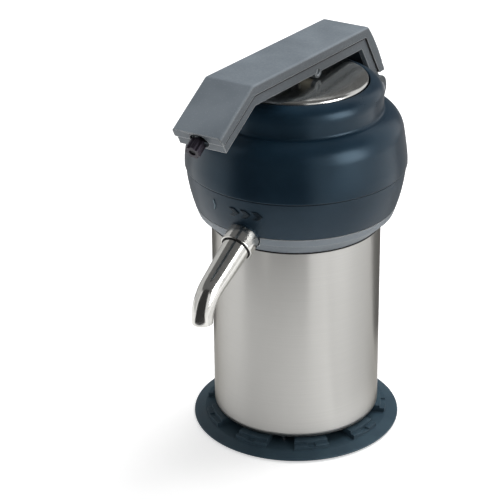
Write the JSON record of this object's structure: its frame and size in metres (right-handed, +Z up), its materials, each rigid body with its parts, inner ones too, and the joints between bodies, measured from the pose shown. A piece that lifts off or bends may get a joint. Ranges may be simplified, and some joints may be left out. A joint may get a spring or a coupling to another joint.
{
  "type": "citrus juicer",
  "caption": "Electric citrus juicer: round steel body on a skirted base, blue bowl with a bent spout, domed cover and a hinged lever that presses fruit onto a turning reamer.",
  "frame": {"origin": "on the body's axis, at the level of the table under the feet", "axes": "+Z up along the body's axis, -Y to the front where the spout and the handle are, +X to the juicer's left as it faces forward"},
  "size_m": [0.2, 0.2973, 0.3709],
  "materials": {
    "body_steel": "satin, brushed round the body",
    "polished_steel": "polished",
    "zinc_steel": "plain zinc-plated or ground steel",
    "cover_plastic": "satin sheen, dark blue",
    "bowl_plastic": "satin, dark blue",
    "base_plastic": "satin, dark blue-grey",
    "grey_coat": "fine textured grey coat",
    "black_plastic": "satin black",
    "rocker_plastic": "gloss black",
    "pale_plastic": "satin, off-white",
    "reamer_plastic": "smooth, white",
    "black_rubber": "matt",
    "motor_casting": "as cast",
    "core_iron": "stacked laminations",
    "copper_wire": "varnished",
    "bearing_bronze": "plain"
  },
  "bodies": {
    "base": {"base_skirt": "base_plastic", "rubber_feet": "black_rubber", "tie_rods": "zinc_steel", "body_shell": "body_steel", "body_gasket": "black_rubber", "support_ring": "grey_coat", "shaft_seal": "black_rubber", "motor_mounts": "black_rubber", "motor_lower_flange": "motor_casting", "motor_upper_flange": "motor_casting", "stator_core": "core_iron", "motor_windings": "copper_wire", "lower_bearing": "zinc_steel", "upper_bearing": "zinc_steel", "motor_tie_bolts": "zinc_steel", "run_capacitor": "pale_plastic", "capacitor_clip": "zinc_steel", "terminal_block": "pale_plastic", "cable_gland": "black_plastic", "switch_housing": "black_plastic", "juice_bowl": "bowl_plastic", "spout_tube": "polished_steel", "spout_collar": "polished_steel", "spout_seal": "black_rubber", "spout_nut": "zinc_steel", "strainer": "polished_steel", "cover_gasket": "black_rubber"},
    "drive": {"motor_shaft": "zinc_steel", "rotor_core": "core_iron", "cooling_fan": "black_plastic", "shaft_slinger": "black_rubber", "reamer": "reamer_plastic", "drive_pin": "zinc_steel"},
    "cover": {"splash_cover": "cover_plastic", "hinge_bracket": "grey_coat", "bracket_screws": "zinc_steel", "hinge_pin": "zinc_steel", "hinge_clip": "zinc_steel"},
    "lever": {"lever_shell": "grey_coat", "lever_frame": "grey_coat", "lever_bushes": "bearing_bronze", "lever_screws": "zinc_steel", "bell_pin": "zinc_steel", "bell_spacers": "pale_plastic", "knob_stud": "zinc_steel"},
    "press_bell": {"press_lid": "polished_steel", "bell_hub": "polished_steel", "press_cup": "pale_plastic", "bell_nut": "zinc_steel"},
    "knob": {"end_knob": "black_plastic"},
    "rocker": {"switch_rocker": "rocker_plastic"}
  },
  "joints": [
    {"name": "reamer_spin", "type": "hinge", "parent": "base", "child": "drive", "pos_m": [0, 0, 0], "axis": [0, 0, 1], "continuous": true},
    {"name": "cover_lift", "type": "slide", "parent": "base", "child": "cover", "axis": [0, 0, 1], "range_m": [0, 0.11]},
    {"name": "lever_hinge", "type": "hinge", "parent": "cover", "child": "lever", "pos_m": [0, 0.106, 0.297], "axis": [-1, 0, 0], "range_deg": [0, 95]},
    {"name": "bell_tilt", "type": "hinge", "parent": "lever", "child": "press_bell", "pos_m": [0, 0, 0.347], "axis": [-1, 0, 0], "range_deg": [-1, 4]},
    {"name": "knob_turn", "type": "hinge", "parent": "lever", "child": "knob", "pos_m": [0, -0.15998, 0.33274], "axis": [0, -0.8729, -0.4878], "continuous": true},
    {"name": "power_rocker", "type": "hinge", "parent": "base", "child": "rocker", "pos_m": [0, 0.0765, 0.087], "axis": [1, 0, 0], "range_deg": [0, 16]}
  ]
}
